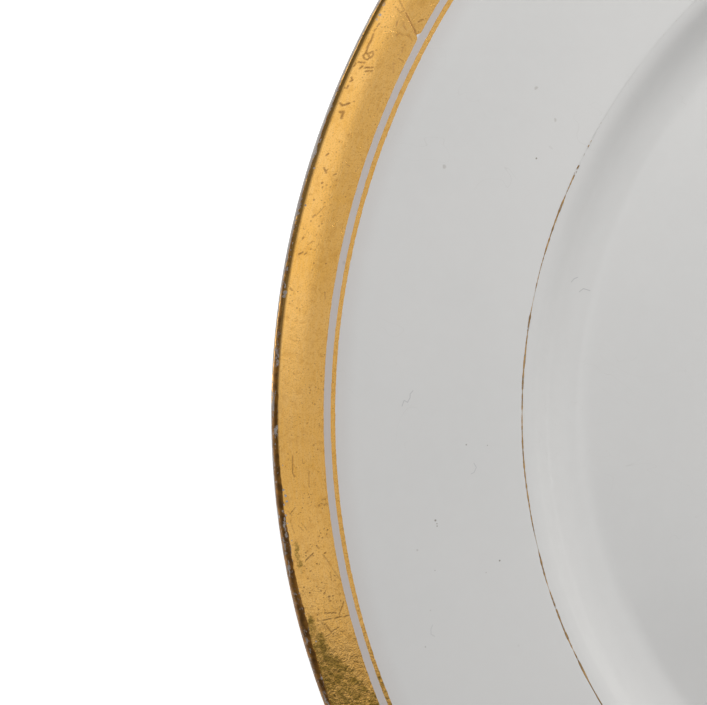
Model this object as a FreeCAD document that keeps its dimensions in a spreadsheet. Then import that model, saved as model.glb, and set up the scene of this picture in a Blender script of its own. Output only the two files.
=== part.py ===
import FreeCAD, Part
import math
import os

import Sketcher
from FreeCAD import Placement, Rotation, Vector

# Porcelain dinner plate, rim shape, 10.5 inch class.
# Frame: millimetres, +Z up, origin on the axis at the table plane under the foot ring.
#
# Real build-up, from the inside out:
#   porcelain_body    one fired clay solid: well, wall, rim and foot ring
#   glaze_coat        clear glaze over the face, round the lip and down the back to the foot
#   recess_glaze      clear glaze inside the foot ring
#   rim_gold_band     burnished gold on the glaze, from the rim's shoulder round the lip
#   rim_gold_line     fine gold line inboard of the band
#   verge_gold_line   gold hairline where the rim turns down into the well

doc = FreeCAD.newDocument("dinner_plate")

# ---------------------------------------------------------------- driving dimensions
DIMS = [
    # alias, value, what it is (lengths in mm, angles in degrees)
    ("lip_radius", 133.05, "fired clay, axis to outermost point of the lip"),
    ("nose_rad", 1.35, "half-round nose of the lip"),
    ("nose_height", 19.14, "height of the nose's centre"),
    ("crown_rad", 35.0, "gentle roll-over of the rim's outer margin"),
    ("crown_start", 124.2, "radius where the roll-over starts"),
    ("rim_angle", 9.65, "upward slope of the rim"),
    ("verge_start", 93.45, "radius where the flat of the rim ends"),
    ("verge_rad", 5.8, "convex turn from rim to wall"),
    ("wall_angle", 45.0, "slope of the wall"),
    ("wall_rad", 12.7, "concave turn from wall to well"),
    ("well_height", 8.0, "height of the well floor, fired clay"),
    ("back_rim_angle", 10.9, "slope of the rim's underside"),
    ("back_verge_rad", 4.0, "turn from rim underside to wall back"),
    ("back_wall_angle", 43.0, "slope of the wall's back"),
    ("back_wall_rad", 16.6, "curve of the wall's back"),
    ("back_wall_centre", 80.0, "radius of that curve's centre"),
    ("recess_height", 3.9, "height of the underside inside the foot ring"),
    ("foot_outer", 79.0, "foot ring, outer side, at its rounding"),
    ("foot_inner", 76.2, "foot ring, inner side, at its rounding"),
    ("foot_round", 0.7, "rounding of the foot's lower edges"),
    ("foot_fillet_out", 1.5, "foot ring to wall back"),
    ("foot_fillet_in", 2.5, "foot ring to recess"),
    ("foot_draft_out", 8.0, "draft of the foot's outer side"),
    ("foot_draft_in", 12.0, "draft of the foot's inner side"),
    ("glaze_thick", 0.2, "clear glaze"),
    ("gold_thick", 0.1, "gold layers, drawn thicker than life"),
    ("band_inner", 124.95, "inner edge of the gold band"),
    ("band_wrap", 1.0, "how far the band passes below the nose's centre"),
    ("line_inner", 123.12, "fine line, inner edge"),
    ("line_outer", 123.84, "fine line, outer edge"),
    ("hair_inner", 92.65, "verge hairline, inner edge"),
    ("hair_outer", 92.95, "verge hairline, outer edge"),
]
sheet = doc.addObject("Spreadsheet::Sheet", "dims")
for row, (alias, value, note) in enumerate(DIMS, start=1):
    sheet.set("A%d" % row, alias)
    sheet.set("B%d" % row, str(value))
    sheet.set("C%d" % row, note)
    sheet.setAlias("B%d" % row, alias)
doc.recompute()
D = {alias: float(sheet.get(alias)) for alias, _, _ in DIMS}


def sn(a):
    return math.sin(math.radians(a))


def cs(a):
    return math.cos(math.radians(a))


# ---------------------------------------------------------------- starting geometry
# Every curve is a chain of tangent lines and arcs in the radius-height plane. "heading" is
# the direction of travel in degrees: outward over the face, round the lip, inward below.
class Chain:
    """Adds tangent segments to a sketch and keeps each one's ends in order of travel."""

    def __init__(self, sketch):
        self.sketch = sketch
        self.last = None

    def _join(self, gid, first, second, tangent=True):
        if self.last is not None:
            kind = "Tangent" if tangent else "Coincident"
            self.sketch.addConstraint(
                Sketcher.Constraint(kind, self.last[0], self.last[2], gid, first)
            )
        self.last = (gid, first, second)
        return self.last

    def line(self, a, b, flip=False, tangent=True):
        p, q = (b, a) if flip else (a, b)
        gid = self.sketch.addGeometry(Part.LineSegment(Vector(*p, 0), Vector(*q, 0)))
        return self._join(gid, 2 if flip else 1, 1 if flip else 2, tangent)

    def arc(self, centre, radius, start, end, clockwise):
        circle = Part.Circle(Vector(*centre, 0), Vector(0, 0, 1), radius)
        if clockwise:
            lo, hi = end + 90, start + 90
        else:
            lo, hi = start - 90, end - 90
        gid = self.sketch.addGeometry(
            Part.ArcOfCircle(circle, math.radians(lo), math.radians(hi))
        )
        return self._join(gid, 2 if clockwise else 1, 1 if clockwise else 2)


def bind(sketch, constraint, name, expression):
    """One driving constraint, named and tied to the sheet."""
    index = sketch.addConstraint(constraint)
    sketch.renameConstraint(index, name)
    sketch.setExpression("Constraints." + name, expression)
    return index


def on_cw(centre, radius, heading):
    return (centre[0] - radius * sn(heading), centre[1] + radius * cs(heading))


def on_ccw(centre, radius, heading):
    return (centre[0] + radius * sn(heading), centre[1] - radius * cs(heading))


def meet(p, heading_p, q, heading_q):
    """Where two lines cross."""
    a, b = (cs(heading_p), sn(heading_p)), (cs(heading_q), sn(heading_q))
    det = a[0] * -b[1] + a[1] * b[0]
    t = ((q[0] - p[0]) * -b[1] + (q[1] - p[1]) * b[0]) / det
    return (p[0] + t * a[0], p[1] + t * a[1])


G = {}  # named points, centres and headings of the fired clay's outline


def outline():
    nose = (D["lip_radius"] - D["nose_rad"], D["nose_height"])
    crown_x = D["crown_start"] + D["crown_rad"] * sn(D["rim_angle"])
    gap = D["crown_rad"] - D["nose_rad"]
    turn = math.degrees(math.asin((crown_x - nose[0]) / gap))
    crown = (crown_x, nose[1] - gap * cs(turn))
    rim_out = on_cw(crown, D["crown_rad"], D["rim_angle"])
    run = rim_out[0] - D["verge_start"]
    rim_in = (
        D["verge_start"],
        rim_out[1] - run * math.tan(math.radians(D["rim_angle"])),
    )
    verge = (
        rim_in[0] + D["verge_rad"] * sn(D["rim_angle"]),
        rim_in[1] - D["verge_rad"] * cs(D["rim_angle"]),
    )
    wall_top = on_cw(verge, D["verge_rad"], D["wall_angle"])
    # wall and floor lines cross at the corner that the concave turn rounds off
    corner = meet(wall_top, D["wall_angle"], (0, D["well_height"]), 0)
    cut = D["wall_rad"] * math.tan(math.radians(D["wall_angle"] / 2))
    floor_end = (corner[0] - cut, D["well_height"])
    bowl = (floor_end[0], D["well_height"] + D["wall_rad"])
    wall_foot = on_ccw(bowl, D["wall_rad"], D["wall_angle"])
    under = -(180 - D["back_rim_angle"])
    back = -(180 - D["back_wall_angle"])
    nose_low = on_cw(nose, D["nose_rad"], under)
    back_c = (D["back_wall_centre"], D["recess_height"] + D["back_wall_rad"])
    back_top = on_cw(back_c, D["back_wall_rad"], back)
    bend = meet(nose_low, under, back_top, back)
    half = (D["back_wall_angle"] - D["back_rim_angle"]) / 2
    cut = D["back_verge_rad"] * math.tan(math.radians(half))
    bend_out = (bend[0] - cut * cs(under), bend[1] - cut * sn(under))
    bend_in = (bend[0] + cut * cs(back), bend[1] + cut * sn(back))
    bend_c = (
        bend_out[0] - D["back_verge_rad"] * sn(under),
        bend_out[1] + D["back_verge_rad"] * cs(under),
    )
    down = -(90 + D["foot_draft_out"])
    low_out = (D["foot_outer"], D["foot_round"] * (1 - sn(D["foot_draft_out"])))
    # fillet outside the foot: beside the drafted side and under the wall's back
    f = D["foot_fillet_out"]
    want, lo, hi = D["back_wall_rad"] + f, 0.0, 6.0
    for _ in range(60):
        t = (lo + hi) / 2
        c = (
            low_out[0] + t * sn(D["foot_draft_out"]) + f * cs(D["foot_draft_out"]),
            low_out[1] + t * cs(D["foot_draft_out"]) - f * sn(D["foot_draft_out"]),
        )
        if math.hypot(c[0] - back_c[0], c[1] - back_c[1]) > want:
            lo = t
        else:
            hi = t
    fillet_c = c
    fillet_low = on_ccw(fillet_c, f, down)
    lean = math.degrees(
        math.atan2(fillet_c[0] - back_c[0], back_c[1] - fillet_c[1])
    )  # heading of the wall's back where the fillet meets it, from level
    meet_h = -(180 - lean)
    fillet_top = on_ccw(fillet_c, f, meet_h)
    up = 90 + D["foot_draft_in"]
    round_out = (
        low_out[0] - D["foot_round"] * cs(D["foot_draft_out"]),
        D["foot_round"],
    )
    low_in = (D["foot_inner"], D["foot_round"] * (1 - sn(D["foot_draft_in"])))
    round_in = (low_in[0] + D["foot_round"] * cs(D["foot_draft_in"]), D["foot_round"])
    side_top = meet(low_in, up, (0, D["recess_height"]), 0)
    cut = D["foot_fillet_in"] * math.tan(math.radians((90 - D["foot_draft_in"]) / 2))
    in_low = (side_top[0] - cut * cs(up), side_top[1] - cut * sn(up))
    in_c = (side_top[0] - cut, D["recess_height"] - D["foot_fillet_in"])
    G.update(locals())


outline()


# ---------------------------------------------------------------- the outline, in pieces
def rim_chain(sketch, chain, first, grow):
    """Rim, crown and nose of the face. grow is how far outside the clay the line runs."""
    g = "" if not grow else " + dims.glaze_thick"
    off = D["glaze_thick"] if grow else 0.0
    if first == "rim":
        p = on_cw(G["verge"], D["verge_rad"] + off, D["rim_angle"])
        q = on_cw(G["crown"], D["crown_rad"] + off, D["rim_angle"])
        rim = chain.line(p, q)
        bind(
            sketch,
            Sketcher.Constraint("Angle", rim[0], math.radians(D["rim_angle"])),
            "rim_angle",
            "dims.rim_angle",
        )
    start = D["rim_angle"]
    crown = chain.arc(G["crown"], D["crown_rad"] + off, start, G["turn"], True)
    nose = chain.arc(G["nose"], D["nose_rad"] + off, G["turn"], G["under"], True)
    bind(
        sketch,
        Sketcher.Constraint("Radius", crown[0], D["crown_rad"] + off),
        "crown_rad",
        "dims.crown_rad" + g,
    )
    bind(
        sketch,
        Sketcher.Constraint("Radius", nose[0], D["nose_rad"] + off),
        "nose_rad",
        "dims.nose_rad" + g,
    )
    bind(
        sketch,
        Sketcher.Constraint("DistanceX", -1, 1, nose[0], 3, G["nose"][0]),
        "nose_out",
        "dims.lip_radius - dims.nose_rad",
    )
    bind(
        sketch,
        Sketcher.Constraint("DistanceY", -1, 1, nose[0], 3, G["nose"][1]),
        "nose_up",
        "dims.nose_height",
    )
    bind(
        sketch,
        Sketcher.Constraint("DistanceX", -1, 1, crown[0], 3, G["crown"][0]),
        "crown_out",
        "dims.crown_start + dims.crown_rad * sin(dims.rim_angle * 1 deg)",
    )
    return crown, nose


def face_and_back(sketch, chain):
    """The clay's outline from the axis over the face and lip to the foot ring's outer side."""
    floor = chain.line((0, D["well_height"]), G["floor_end"])
    sketch.addConstraint(Sketcher.Constraint("Horizontal", floor[0]))
    sketch.addConstraint(Sketcher.Constraint("PointOnObject", floor[0], 1, -2))
    bind(
        sketch,
        Sketcher.Constraint("DistanceY", -1, 1, floor[0], 1, D["well_height"]),
        "well_up",
        "dims.well_height",
    )
    bowl = chain.arc(G["bowl"], D["wall_rad"], 0, D["wall_angle"], False)
    bind(
        sketch,
        Sketcher.Constraint("Radius", bowl[0], D["wall_rad"]),
        "wall_rad",
        "dims.wall_rad",
    )
    wall = chain.line(G["wall_foot"], G["wall_top"])
    bind(
        sketch,
        Sketcher.Constraint("Angle", wall[0], math.radians(D["wall_angle"])),
        "wall_angle",
        "dims.wall_angle",
    )
    verge = chain.arc(
        G["verge"], D["verge_rad"], D["wall_angle"], D["rim_angle"], True
    )
    bind(
        sketch,
        Sketcher.Constraint("Radius", verge[0], D["verge_rad"]),
        "verge_rad",
        "dims.verge_rad",
    )
    bind(
        sketch,
        Sketcher.Constraint("DistanceX", -1, 1, verge[0], 3, G["verge"][0]),
        "verge_out",
        "dims.verge_start + dims.verge_rad * sin(dims.rim_angle * 1 deg)",
    )
    rim_chain(sketch, chain, "rim", False)
    under = chain.line(G["nose_low"], G["bend_out"], flip=True)
    bind(
        sketch,
        Sketcher.Constraint("Angle", under[0], math.radians(D["back_rim_angle"])),
        "back_rim_angle",
        "dims.back_rim_angle",
    )
    bend = chain.arc(G["bend_c"], D["back_verge_rad"], G["under"], G["back"], False)
    bind(
        sketch,
        Sketcher.Constraint("Radius", bend[0], D["back_verge_rad"]),
        "back_verge_rad",
        "dims.back_verge_rad",
    )
    back = chain.line(G["bend_in"], G["back_top"], flip=True)
    bind(
        sketch,
        Sketcher.Constraint("Angle", back[0], math.radians(D["back_wall_angle"])),
        "back_wall_angle",
        "dims.back_wall_angle",
    )
    curve = chain.arc(G["back_c"], D["back_wall_rad"], G["back"], G["meet_h"], True)
    bind(
        sketch,
        Sketcher.Constraint("Radius", curve[0], D["back_wall_rad"]),
        "back_wall_rad",
        "dims.back_wall_rad",
    )
    bind(
        sketch,
        Sketcher.Constraint("DistanceX", -1, 1, curve[0], 3, G["back_c"][0]),
        "back_wall_out",
        "dims.back_wall_centre",
    )
    bind(
        sketch,
        Sketcher.Constraint("DistanceY", -1, 1, curve[0], 3, G["back_c"][1]),
        "back_wall_up",
        "dims.recess_height + dims.back_wall_rad",
    )
    fillet = chain.arc(
        G["fillet_c"], D["foot_fillet_out"], G["meet_h"], G["down"], False
    )
    bind(
        sketch,
        Sketcher.Constraint("Radius", fillet[0], D["foot_fillet_out"]),
        "foot_fillet_out",
        "dims.foot_fillet_out",
    )
    side = chain.line(G["fillet_low"], G["low_out"], flip=True)
    bind(
        sketch,
        Sketcher.Constraint(
            "Angle", side[0], math.radians(90 - D["foot_draft_out"])
        ),
        "foot_side_out",
        "90 - dims.foot_draft_out",
    )
    bind(
        sketch,
        Sketcher.Constraint("DistanceX", -1, 1, side[0], 1, D["foot_outer"]),
        "foot_outer",
        "dims.foot_outer",
    )
    return side


def recess(sketch, chain):
    """The outline from the foot ring's inner side to the axis under the well."""
    side = chain.line(G["low_in"], G["in_low"])
    bind(
        sketch,
        Sketcher.Constraint("Angle", side[0], math.radians(90 + D["foot_draft_in"])),
        "foot_side_in",
        "90 + dims.foot_draft_in",
    )
    bind(
        sketch,
        Sketcher.Constraint("DistanceX", -1, 1, side[0], 1, D["foot_inner"]),
        "foot_inner",
        "dims.foot_inner",
    )
    fillet = chain.arc(G["in_c"], D["foot_fillet_in"], G["up"], 180, False)
    bind(
        sketch,
        Sketcher.Constraint("Radius", fillet[0], D["foot_fillet_in"]),
        "foot_fillet_in",
        "dims.foot_fillet_in",
    )
    roof = chain.line(
        (G["in_c"][0], D["recess_height"]), (0, D["recess_height"]), flip=True
    )
    sketch.addConstraint(Sketcher.Constraint("Horizontal", roof[0]))
    sketch.addConstraint(Sketcher.Constraint("PointOnObject", roof[0], 1, -2))
    bind(
        sketch,
        Sketcher.Constraint("DistanceY", -1, 1, roof[0], 1, D["recess_height"]),
        "recess_up",
        "dims.recess_height",
    )
    return side, roof


# ---------------------------------------------------------------- porcelain body
body = doc.addObject("PartDesign::Body", "porcelain_body")
body.Label = "porcelain_body"
section = body.newObject("Sketcher::SketchObject", "body_section")
xz = [f for f in body.Origin.OriginFeatures if f.Role == "XZ_Plane"][0]
section.AttachmentSupport = [(xz, "")]
section.MapMode = "FlatFace"
chain = Chain(section)
foot_side = face_and_back(section, chain)
face_start = (0, 1)  # the well floor's own start, on the axis
outer_round = chain.arc(G["round_out"], D["foot_round"], G["down"], -180, True)
bind(
    section,
    Sketcher.Constraint("Radius", outer_round[0], D["foot_round"]),
    "foot_round_out",
    "dims.foot_round",
)
sole = chain.line((G["round_out"][0], 0), (G["round_in"][0], 0), flip=True)
section.addConstraint(Sketcher.Constraint("PointOnObject", sole[0], 1, -1))
section.addConstraint(Sketcher.Constraint("PointOnObject", sole[0], 2, -1))
inner_round = chain.arc(G["round_in"], D["foot_round"], 180, G["up"], True)
bind(
    section,
    Sketcher.Constraint("Radius", inner_round[0], D["foot_round"]),
    "foot_round_in",
    "dims.foot_round",
)
_, roof = recess(section, chain)
axis_line = chain.line((0, D["recess_height"]), (0, D["well_height"]), tangent=False)
section.addConstraint(
    Sketcher.Constraint("Coincident", axis_line[0], 2, face_start[0], face_start[1])
)
doc.recompute()
turned = body.newObject("PartDesign::Revolution", "body_turned")
turned.Profile = section
turned.ReferenceAxis = (section, ["V_Axis"])
turned.Angle = 360.0
section.Visibility = False
doc.recompute()

UPRIGHT = Placement(Vector(0, 0, 0), Rotation(Vector(1, 0, 0), 90))


def turned_about_axis(name, source):
    ring = doc.addObject("Part::Revolution", name)
    ring.Label = name
    ring.Source = source
    ring.Base = Vector(0, 0, 0)
    ring.Axis = Vector(0, 0, 1)
    ring.Angle = 360.0
    ring.Solid = True
    doc.recompute()
    return ring


def upright_sketch(name, draw):
    sketch = doc.addObject("Sketcher::SketchObject", name)
    sketch.Placement = UPRIGHT
    draw(sketch)
    doc.recompute()
    return sketch


def coated(name, draw, thickness_alias, under):
    """A ring-shaped coat: an open line in the radius-height plane, given its thickness
    on the side away from what lies under it, and turned about the axis."""
    line = upright_sketch(name + "_line", draw)
    strip = doc.addObject("Part::Offset2D", name + "_strip")
    strip.Source = line
    strip.Mode = "Skin"
    strip.Join = "Arc"
    strip.Fill = True
    for sign in ("", "-"):
        strip.setExpression("Value", sign + "dims." + thickness_alias)
        doc.recompute()
        if strip.Shape.Faces and clear_of(strip.Shape, under):
            break
    else:
        raise RuntimeError("%s lies inside what it should cover" % name)
    return turned_about_axis(name, strip)


def clear_of(strip_shape, under):
    shared = sum(strip_shape.common(obj.Shape).Area for obj in under)
    return shared < 0.02 * strip_shape.Area


def draw_coat(sketch):
    face_and_back(sketch, Chain(sketch))
    bind(
        sketch,
        Sketcher.Constraint(
            "DistanceY",
            -1,
            1,
            sketch.GeometryCount - 1,
            1,
            G["low_out"][1],
        ),
        "glaze_line_out",
        "dims.foot_round * (1 - sin(dims.foot_draft_out * 1 deg))",
    )


def draw_recess(sketch):
    recess(sketch, Chain(sketch))
    bind(
        sketch,
        Sketcher.Constraint("DistanceY", -1, 1, 0, 1, G["low_in"][1]),
        "glaze_line_in",
        "dims.foot_round * (1 - sin(dims.foot_draft_in * 1 deg))",
    )


glaze_coat = coated("glaze_coat", draw_coat, "glaze_thick", [body])
recess_glaze = coated("recess_glaze", draw_recess, "glaze_thick", [body])


def draw_band(sketch):
    crown, nose = rim_chain(sketch, Chain(sketch), "crown", True)
    bind(
        sketch,
        Sketcher.Constraint("DistanceX", -1, 1, crown[0], 2, D["band_inner"]),
        "band_inner",
        "dims.band_inner",
    )
    bind(
        sketch,
        Sketcher.Constraint("DistanceY", nose[0], 1, nose[0], 3, D["band_wrap"]),
        "band_wrap",
        "dims.band_wrap",
    )


def draw_fine_line(sketch):
    """The fine line's section: a thin strip on the straight of the rim. Two construction
    curves carry the rim and the crown's roll-over, which set its height."""
    radius = D["crown_rad"] + D["glaze_thick"]
    crown = sketch.addGeometry(
        Part.ArcOfCircle(
            Part.Circle(Vector(*G["crown"], 0), Vector(0, 0, 1), radius),
            math.radians(90),
            math.radians(90 + D["rim_angle"]),
        ),
        True,
    )
    end = on_cw(G["crown"], radius, D["rim_angle"])
    slope = math.tan(math.radians(D["rim_angle"]))
    lift = (-D["gold_thick"] * sn(D["rim_angle"]), D["gold_thick"] * cs(D["rim_angle"]))

    def at(x, n=0):
        return (x + n * lift[0], end[1] - (end[0] - x) * slope + n * lift[1])

    rim = sketch.addGeometry(
        Part.LineSegment(Vector(*at(D["line_outer"]), 0), Vector(*end, 0)), True
    )
    corners = [
        at(D["line_inner"]),
        at(D["line_outer"]),
        at(D["line_outer"], 1),
        at(D["line_inner"], 1),
    ]
    sides = [
        sketch.addGeometry(
            Part.LineSegment(Vector(*corners[i], 0), Vector(*corners[(i + 1) % 4], 0))
        )
        for i in range(4)
    ]
    for i in range(4):
        sketch.addConstraint(
            Sketcher.Constraint("Coincident", sides[i], 2, sides[(i + 1) % 4], 1)
        )
    for i in range(3):
        sketch.addConstraint(
            Sketcher.Constraint("Perpendicular", sides[i], sides[i + 1])
        )
    sketch.addConstraint(Sketcher.Constraint("Vertical", crown, 1, crown, 3))
    sketch.addConstraint(Sketcher.Constraint("Tangent", rim, 2, crown, 2))
    sketch.addConstraint(Sketcher.Constraint("Tangent", sides[0], 2, rim, 1))
    bind(
        sketch,
        Sketcher.Constraint("Radius", crown, radius),
        "crown_rad",
        "dims.crown_rad + dims.glaze_thick",
    )
    bind(
        sketch,
        Sketcher.Constraint("DistanceX", -1, 1, crown, 3, G["crown"][0]),
        "crown_out",
        "dims.crown_start + dims.crown_rad * sin(dims.rim_angle * 1 deg)",
    )
    bind(
        sketch,
        Sketcher.Constraint("DistanceY", crown, 3, -1, 1, -G["crown"][1]),
        "crown_down",
        "sqrt((dims.crown_rad - dims.nose_rad)^2 - (dims.crown_start"
        " + dims.crown_rad * sin(dims.rim_angle * 1 deg)"
        " - dims.lip_radius + dims.nose_rad)^2) - dims.nose_height",
    )
    bind(
        sketch,
        Sketcher.Constraint("Angle", sides[0], math.radians(D["rim_angle"])),
        "rim_angle",
        "dims.rim_angle",
    )
    bind(
        sketch,
        Sketcher.Constraint("DistanceX", -1, 1, sides[0], 1, D["line_inner"]),
        "line_inner",
        "dims.line_inner",
    )
    bind(
        sketch,
        Sketcher.Constraint("DistanceX", -1, 1, sides[0], 2, D["line_outer"]),
        "line_outer",
        "dims.line_outer",
    )
    bind(
        sketch,
        Sketcher.Constraint("Distance", sides[1], D["gold_thick"]),
        "gold_thick",
        "dims.gold_thick",
    )


def draw_hairline(sketch):
    """The hairline lies on the glazed verge, an arc about the verge's own centre."""
    radius = D["verge_rad"] + D["glaze_thick"]
    lo = math.acos((D["hair_outer"] - G["verge"][0]) / radius)
    hi = math.acos((D["hair_inner"] - G["verge"][0]) / radius)
    arc = sketch.addGeometry(
        Part.ArcOfCircle(
            Part.Circle(Vector(*G["verge"], 0), Vector(0, 0, 1), radius), lo, hi
        )
    )
    bind(
        sketch,
        Sketcher.Constraint("Radius", arc, radius),
        "verge_rad",
        "dims.verge_rad + dims.glaze_thick",
    )
    bind(
        sketch,
        Sketcher.Constraint("DistanceX", -1, 1, arc, 3, G["verge"][0]),
        "verge_out",
        "dims.verge_start + dims.verge_rad * sin(dims.rim_angle * 1 deg)",
    )
    bind(
        sketch,
        Sketcher.Constraint("DistanceY", -1, 1, arc, 3, G["verge"][1]),
        "verge_up",
        "dims.nose_height - sqrt((dims.crown_rad - dims.nose_rad)^2 - (dims.crown_start"
        " + dims.crown_rad * sin(dims.rim_angle * 1 deg)"
        " - dims.lip_radius + dims.nose_rad)^2)"
        " + (dims.crown_rad - dims.verge_rad) * cos(dims.rim_angle * 1 deg)"
        " - (dims.crown_start - dims.verge_start) * tan(dims.rim_angle * 1 deg)",
    )
    bind(
        sketch,
        Sketcher.Constraint("DistanceX", -1, 1, arc, 1, D["hair_outer"]),
        "hair_outer",
        "dims.hair_outer",
    )
    bind(
        sketch,
        Sketcher.Constraint("DistanceX", -1, 1, arc, 2, D["hair_inner"]),
        "hair_inner",
        "dims.hair_inner",
    )


rim_gold_band = coated(
    "rim_gold_band", draw_band, "gold_thick", [body, glaze_coat]
)
rim_gold_line = turned_about_axis(
    "rim_gold_line", upright_sketch("rim_gold_line_section", draw_fine_line)
)
verge_gold_line = coated(
    "verge_gold_line", draw_hairline, "gold_thick", [body, glaze_coat]
)
doc.recompute()

# ---------------------------------------------------------------- checks and export
NODES = [
    body,
    glaze_coat,
    recess_glaze,
    rim_gold_band,
    rim_gold_line,
    verge_gold_line,
]
for obj in doc.Objects:
    bad = [state for state in obj.State if state in ("Invalid", "Error")]
    if bad:
        raise RuntimeError("%s is %s" % (obj.Name, bad))
    if obj.TypeId == "Sketcher::SketchObject":
        free = obj.solve()
        print(obj.Name, "solve", free, "free", getattr(obj, "DoF", None))
for obj in NODES:
    shape = obj.Shape
    if shape.isNull() or not shape.isValid() or not shape.Solids:
        raise RuntimeError("%s has no valid solid" % obj.Label)
    box = shape.optimalBoundingBox(False, False)
    print(
        "%-16s solids %d  volume %9.1f mm3  r %.3f  z %.3f to %.3f"
        % (obj.Label, len(shape.Solids), shape.Volume, box.XMax, box.ZMin, box.ZMax)
    )

os.makedirs("parts", exist_ok=True)
for old in os.listdir("parts"):
    if old.endswith(".step"):
        os.remove(os.path.join("parts", old))
for obj in NODES:
    obj.Shape.exportStep(os.path.join("parts", obj.Label + ".step"))
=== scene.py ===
import math

import bpy
import numpy as np
from mathutils import Matrix, Vector


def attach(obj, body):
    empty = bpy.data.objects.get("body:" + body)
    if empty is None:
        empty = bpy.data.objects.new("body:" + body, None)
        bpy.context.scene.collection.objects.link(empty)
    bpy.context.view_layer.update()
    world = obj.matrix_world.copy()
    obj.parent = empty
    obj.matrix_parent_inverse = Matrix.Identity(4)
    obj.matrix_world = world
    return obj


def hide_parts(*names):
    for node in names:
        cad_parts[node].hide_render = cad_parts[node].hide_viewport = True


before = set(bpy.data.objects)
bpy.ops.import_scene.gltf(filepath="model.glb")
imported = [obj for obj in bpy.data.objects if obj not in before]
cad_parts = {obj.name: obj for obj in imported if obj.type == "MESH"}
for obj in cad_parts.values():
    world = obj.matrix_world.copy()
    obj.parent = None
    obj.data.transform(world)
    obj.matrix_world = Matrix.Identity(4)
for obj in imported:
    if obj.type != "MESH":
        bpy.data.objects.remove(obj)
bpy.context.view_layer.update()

MM = 0.001
rng = np.random.default_rng(20)

# ------------------------------------------------------------------ the plate's outline
# The same chain of tangent lines and arcs as the CAD model, in millimetres. A heading is the
# direction of travel in degrees: outward over the face, round the lip, inward underneath.
LIP, NOSE_R, NOSE_Z = 133.05, 1.35, 19.14
CROWN_R, CROWN_0, RIM = 35.0, 124.2, 9.65
VERGE_0, VERGE_R = 93.45, 5.8
WALL, WALL_R, WELL_Z = 45.0, 12.7, 8.0
B_RIM, B_VERGE_R, B_WALL, B_WALL_R, B_WALL_0 = 10.9, 4.0, 43.0, 16.6, 80.0
RECESS_Z, FOOT_OUT, FOOT_IN, FOOT_RND = 3.9, 79.0, 76.2, 0.7
F_OUT, F_IN, DRAFT_OUT, DRAFT_IN = 1.5, 2.5, 8.0, 12.0
GLAZE = 0.2


def sn(a):
    return math.sin(math.radians(a))


def cs(a):
    return math.cos(math.radians(a))


def on_cw(c, r, h):
    return (c[0] - r * sn(h), c[1] + r * cs(h))


def on_ccw(c, r, h):
    return (c[0] + r * sn(h), c[1] - r * cs(h))


def meet(p, hp, q, hq):
    a, b = (cs(hp), sn(hp)), (cs(hq), sn(hq))
    det = a[0] * -b[1] + a[1] * b[0]
    t = ((q[0] - p[0]) * -b[1] + (q[1] - p[1]) * b[0]) / det
    return (p[0] + t * a[0], p[1] + t * a[1])


nose = (LIP - NOSE_R, NOSE_Z)
crown_x = CROWN_0 + CROWN_R * sn(RIM)
turn = math.degrees(math.asin((crown_x - nose[0]) / (CROWN_R - NOSE_R)))
crown = (crown_x, nose[1] - (CROWN_R - NOSE_R) * cs(turn))
rim_out = on_cw(crown, CROWN_R, RIM)
rim_in = (VERGE_0, rim_out[1] - (rim_out[0] - VERGE_0) * math.tan(math.radians(RIM)))
verge = (rim_in[0] + VERGE_R * sn(RIM), rim_in[1] - VERGE_R * cs(RIM))
wall_top = on_cw(verge, VERGE_R, WALL)
corner = meet(wall_top, WALL, (0, WELL_Z), 0)
floor_end = (corner[0] - WALL_R * math.tan(math.radians(WALL / 2)), WELL_Z)
bowl = (floor_end[0], WELL_Z + WALL_R)
wall_foot = on_ccw(bowl, WALL_R, WALL)
under, back = -(180 - B_RIM), -(180 - B_WALL)
nose_low = on_cw(nose, NOSE_R, under)
back_c = (B_WALL_0, RECESS_Z + B_WALL_R)
back_top = on_cw(back_c, B_WALL_R, back)
bend = meet(nose_low, under, back_top, back)
cut = B_VERGE_R * math.tan(math.radians((B_WALL - B_RIM) / 2))
bend_out = (bend[0] - cut * cs(under), bend[1] - cut * sn(under))
bend_c = (bend_out[0] - B_VERGE_R * sn(under), bend_out[1] + B_VERGE_R * cs(under))
down, up = -(90 + DRAFT_OUT), 90 + DRAFT_IN
low_out = (FOOT_OUT, FOOT_RND * (1 - sn(DRAFT_OUT)))
lo, hi = 0.0, 6.0
for _ in range(60):
    t = (lo + hi) / 2
    fillet_c = (
        low_out[0] + t * sn(DRAFT_OUT) + F_OUT * cs(DRAFT_OUT),
        low_out[1] + t * cs(DRAFT_OUT) - F_OUT * sn(DRAFT_OUT),
    )
    far = math.hypot(fillet_c[0] - back_c[0], fillet_c[1] - back_c[1])
    lo, hi = (t, hi) if far > B_WALL_R + F_OUT else (lo, t)
lean = math.degrees(math.atan2(fillet_c[0] - back_c[0], back_c[1] - fillet_c[1]))
meet_h = -(180 - lean)
low_in = (FOOT_IN, FOOT_RND * (1 - sn(DRAFT_IN)))
side_top = meet(low_in, up, (0, RECESS_Z), 0)
cut_in = F_IN * math.tan(math.radians((90 - DRAFT_IN) / 2))
in_c = (side_top[0] - cut_in, RECESS_Z - F_IN)


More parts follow.
